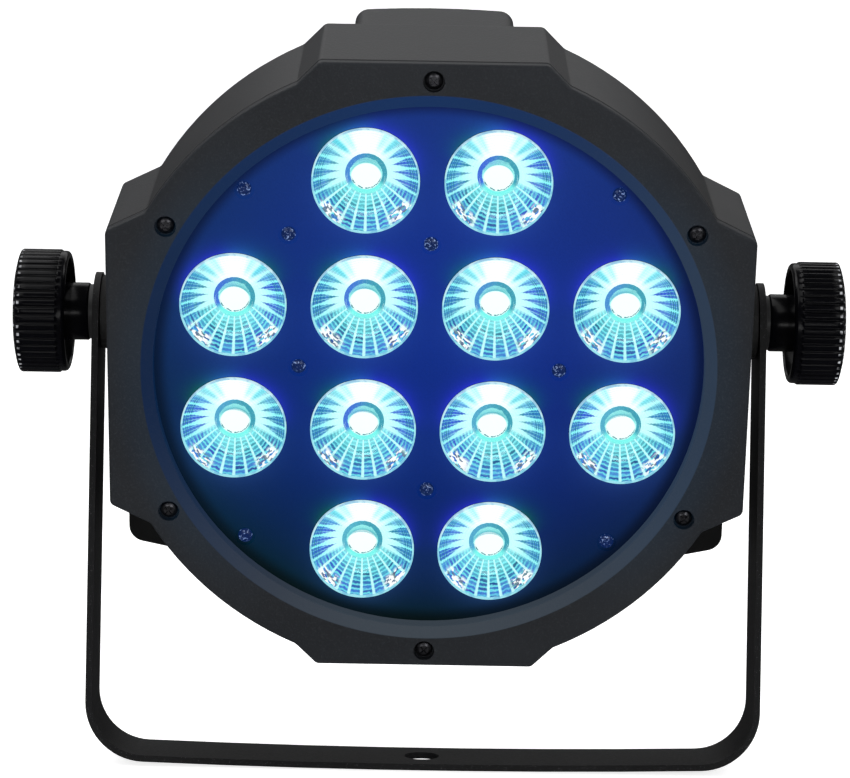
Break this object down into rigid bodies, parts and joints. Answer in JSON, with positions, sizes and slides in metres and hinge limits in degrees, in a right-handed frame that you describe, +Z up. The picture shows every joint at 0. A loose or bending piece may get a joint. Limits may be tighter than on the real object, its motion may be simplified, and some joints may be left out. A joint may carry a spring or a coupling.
{
  "type": "par can light",
  "caption": "Black slim stage light: lobed housing with a grid of faceted LED lenses, tilting in a U bracket clamped by ribbed knobs.",
  "frame": {"origin": "centre of the bracket's mounting hole, on the underside of the bracket", "axes": "+X to the right seen from the front, along the tilt axis; lamp faces -Y; +Z up, along the bracket arms"},
  "size_m": [0.292, 0.1415, 0.2686],
  "materials": {
    "bracket_paint": "fine textured black powder coat",
    "housing_plastic": "fine textured charcoal",
    "panel_paint": "satin black",
    "black_steel": "black oxide",
    "plated_steel": "zinc plated",
    "holder_plastic": "black moulding",
    "led_package": "white package with a clear dome, lit",
    "board_aluminium": "white solder mask on aluminium core",
    "sink_aluminium": "cast, raw",
    "soft_rubber": "matt black",
    "fan_plastic": "black moulding",
    "circuit_board": "green glass-fibre board",
    "ferrite": "dark ferrite with yellow tape",
    "capacitor_can": "sleeved cans",
    "display_module": "seven-segment digits",
    "display_window": "red tinted acrylic",
    "plate_steel": "satin black",
    "connector_shell": "black moulding",
    "contact_metal": "silver plated",
    "latch_metal": "nickel plated",
    "fuse_glass": "clear glass",
    "insert_brass": "turned",
    "knob_plastic": "moulded with fine ribs",
    "washer_nylon": "black nylon",
    "lens_acrylic": "clear acrylic with facets",
    "button_plastic": "black caps"
  },
  "bodies": {
    "base": {"bracket": "bracket_paint"},
    "head": {"front_bezel": "housing_plastic", "rear_housing": "housing_plastic", "face_panel": "panel_paint", "bezel_screws": "black_steel", "panel_screws": "black_steel", "panel_standoffs": "plated_steel", "heat_sink_screws": "plated_steel", "board_screws": "plated_steel", "fan_screws": "black_steel", "connector_screws": "black_steel", "eyelet_screws": "black_steel", "lens_holders": "holder_plastic", "led_emitters": "led_package", "led_board": "board_aluminium", "heat_sink": "sink_aluminium", "rubber_feet": "soft_rubber", "friction_pads": "soft_rubber", "fan_frame": "fan_plastic", "driver_board": "circuit_board", "control_board": "circuit_board", "transformer": "ferrite", "capacitors": "capacitor_can", "display_module": "display_module", "display_window": "display_window", "connector_plate": "plate_steel", "xlr_in": "connector_shell", "xlr_out": "connector_shell", "power_inlet": "connector_shell", "xlr_in_pins": "contact_metal", "xlr_out_contacts": "contact_metal", "inlet_pins": "contact_metal", "safety_eyelet": "plated_steel", "pivot_inserts": "insert_brass", "lens_01": "lens_acrylic", "lens_02": "lens_acrylic", "lens_03": "lens_acrylic", "lens_04": "lens_acrylic", "lens_05": "lens_acrylic", "lens_06": "lens_acrylic", "lens_07": "lens_acrylic", "lens_08": "lens_acrylic", "lens_09": "lens_acrylic", "lens_10": "lens_acrylic", "lens_11": "lens_acrylic", "lens_12": "lens_acrylic"},
    "left_washer": {"left_knob_washer": "washer_nylon"},
    "right_washer": {"right_knob_washer": "washer_nylon"},
    "left_clamp": {"left_knob": "knob_plastic", "left_knob_stud": "plated_steel"},
    "right_clamp": {"right_knob": "knob_plastic", "right_knob_stud": "plated_steel"},
    "fan": {"fan_rotor": "fan_plastic"},
    "latch": {"xlr_latch": "latch_metal"},
    "drawer": {"fuse_drawer": "connector_shell", "fuse": "fuse_glass"},
    "button_1": {"menu_button_1": "button_plastic"},
    "button_2": {"menu_button_2": "button_plastic"},
    "button_3": {"menu_button_3": "button_plastic"},
    "button_4": {"menu_button_4": "button_plastic"}
  },
  "joints": [
    {"name": "head_tilt", "type": "hinge", "parent": "base", "child": "head", "pos_m": [0, 0, 0.16], "axis": [1, 0, 0], "range_deg": [-134.7, 105.3]},
    {"name": "left_clamp_travel", "type": "slide", "parent": "head", "child": "left_washer", "axis": [-1, 0, 0], "range_m": [0, 0.0025]},
    {"name": "left_knob_turn", "type": "hinge", "parent": "left_washer", "child": "left_clamp", "pos_m": [0, 0, 0.16], "axis": [-1, 0, 0], "range_deg": [0, 720]},
    {"name": "right_clamp_travel", "type": "slide", "parent": "head", "child": "right_washer", "axis": [1, 0, 0], "range_m": [0, 0.0025]},
    {"name": "right_knob_turn", "type": "hinge", "parent": "right_washer", "child": "right_clamp", "pos_m": [0, 0, 0.16], "axis": [1, 0, 0], "range_deg": [0, 720]},
    {"name": "fan_spin", "type": "hinge", "parent": "head", "child": "fan", "pos_m": [0, 0.00777, 0.20132], "axis": [0, 0.9673, 0.2538], "continuous": true},
    {"name": "button_1_press", "type": "slide", "parent": "head", "child": "button_1", "axis": [0, -0.9673, -0.2538], "range_m": [0, 0.001], "stiffness_N_per_m": 1500, "springref_m": -0.0003},
    {"name": "button_2_press", "type": "slide", "parent": "head", "child": "button_2", "axis": [0, -0.9673, -0.2538], "range_m": [0, 0.001], "stiffness_N_per_m": 1500, "springref_m": -0.0003},
    {"name": "button_3_press", "type": "slide", "parent": "head", "child": "button_3", "axis": [0, -0.9673, -0.2538], "range_m": [0, 0.001], "stiffness_N_per_m": 1500, "springref_m": -0.0003},
    {"name": "button_4_press", "type": "slide", "parent": "head", "child": "button_4", "axis": [0, -0.9673, -0.2538], "range_m": [0, 0.001], "stiffness_N_per_m": 1500, "springref_m": -0.0003},
    {"name": "latch_press", "type": "slide", "parent": "head", "child": "latch", "axis": [0, -0.9673, -0.2538], "range_m": [0, 0.0014], "stiffness_N_per_m": 1200, "springref_m": -0.0003},
    {"name": "fuse_drawer_slide", "type": "slide", "parent": "head", "child": "drawer", "axis": [0, 0.9673, 0.2538], "range_m": [0, 0.014]}
  ],
  "couplings": [
    {"joint": "left_knob_turn", "follows": "left_clamp_travel", "rad_per_m": 5026.5},
    {"joint": "right_knob_turn", "follows": "right_clamp_travel", "rad_per_m": 5026.5}
  ]
}
